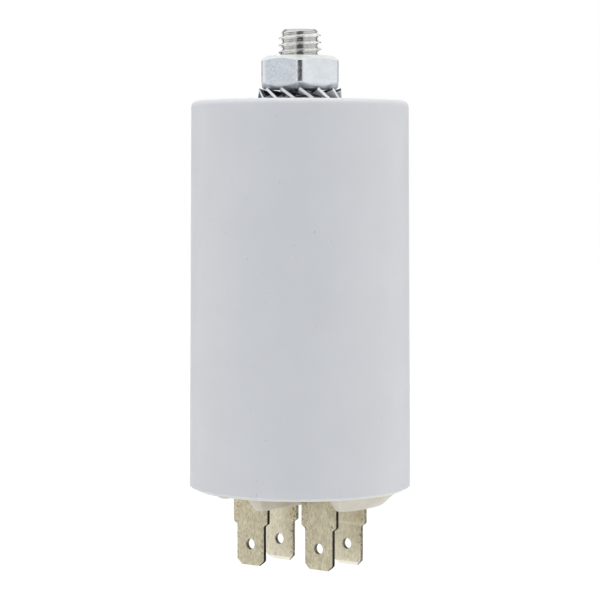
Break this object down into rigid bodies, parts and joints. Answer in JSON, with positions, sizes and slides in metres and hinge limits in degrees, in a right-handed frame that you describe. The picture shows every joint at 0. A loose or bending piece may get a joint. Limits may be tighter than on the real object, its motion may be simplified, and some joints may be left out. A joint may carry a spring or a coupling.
{
  "type": "motor-run film capacitor",
  "caption": "Round plastic-cased motor-run film capacitor with a threaded mounting stud, lock washer and nut on its closed end, and double push-on tab terminals on its lid.",
  "frame": {"origin": "where the axis of the stud leaves the face of the closed end", "axes": "+Z along the stud, away from the case; X parallel to the widths of the tabs"},
  "size_m": [0.0402, 0.0402, 0.0974],
  "materials": {
    "white_case_plastic": "satin moulded white plastic",
    "zinc_stud": "bright zinc plating on a rolled thread",
    "zinc_spring_steel": "bright zinc plating on spring steel",
    "zinc_nut": "satin bluish zinc plating",
    "cream_lid_plastic": "satin cream plastic",
    "plated_brass": "dull tin plating with fine grain and sheared edges",
    "rivet_brass": "bare brass",
    "metallised_film": "wound metallised film",
    "core_plastic": "plain extruded plastic",
    "sprayed_zinc": "rough sprayed metal",
    "red_insulation": "plain cable insulation",
    "black_insulation": "plain cable insulation",
    "resin": "cast resin"
  },
  "bodies": {
    "root": {"case": "white_case_plastic", "mounting_stud": "zinc_stud", "lock_washer": "zinc_spring_steel", "hex_nut": "zinc_nut", "terminal_lid": "cream_lid_plastic", "terminal_a": "plated_brass", "terminal_b": "plated_brass", "rivet_a": "rivet_brass", "rivet_b": "rivet_brass", "film_winding": "metallised_film", "winding_core": "core_plastic", "upper_end_spray": "sprayed_zinc", "lower_end_spray": "sprayed_zinc", "short_lead": "red_insulation", "long_lead": "black_insulation", "potting_resin": "resin"}
  },
  "joints": []
}
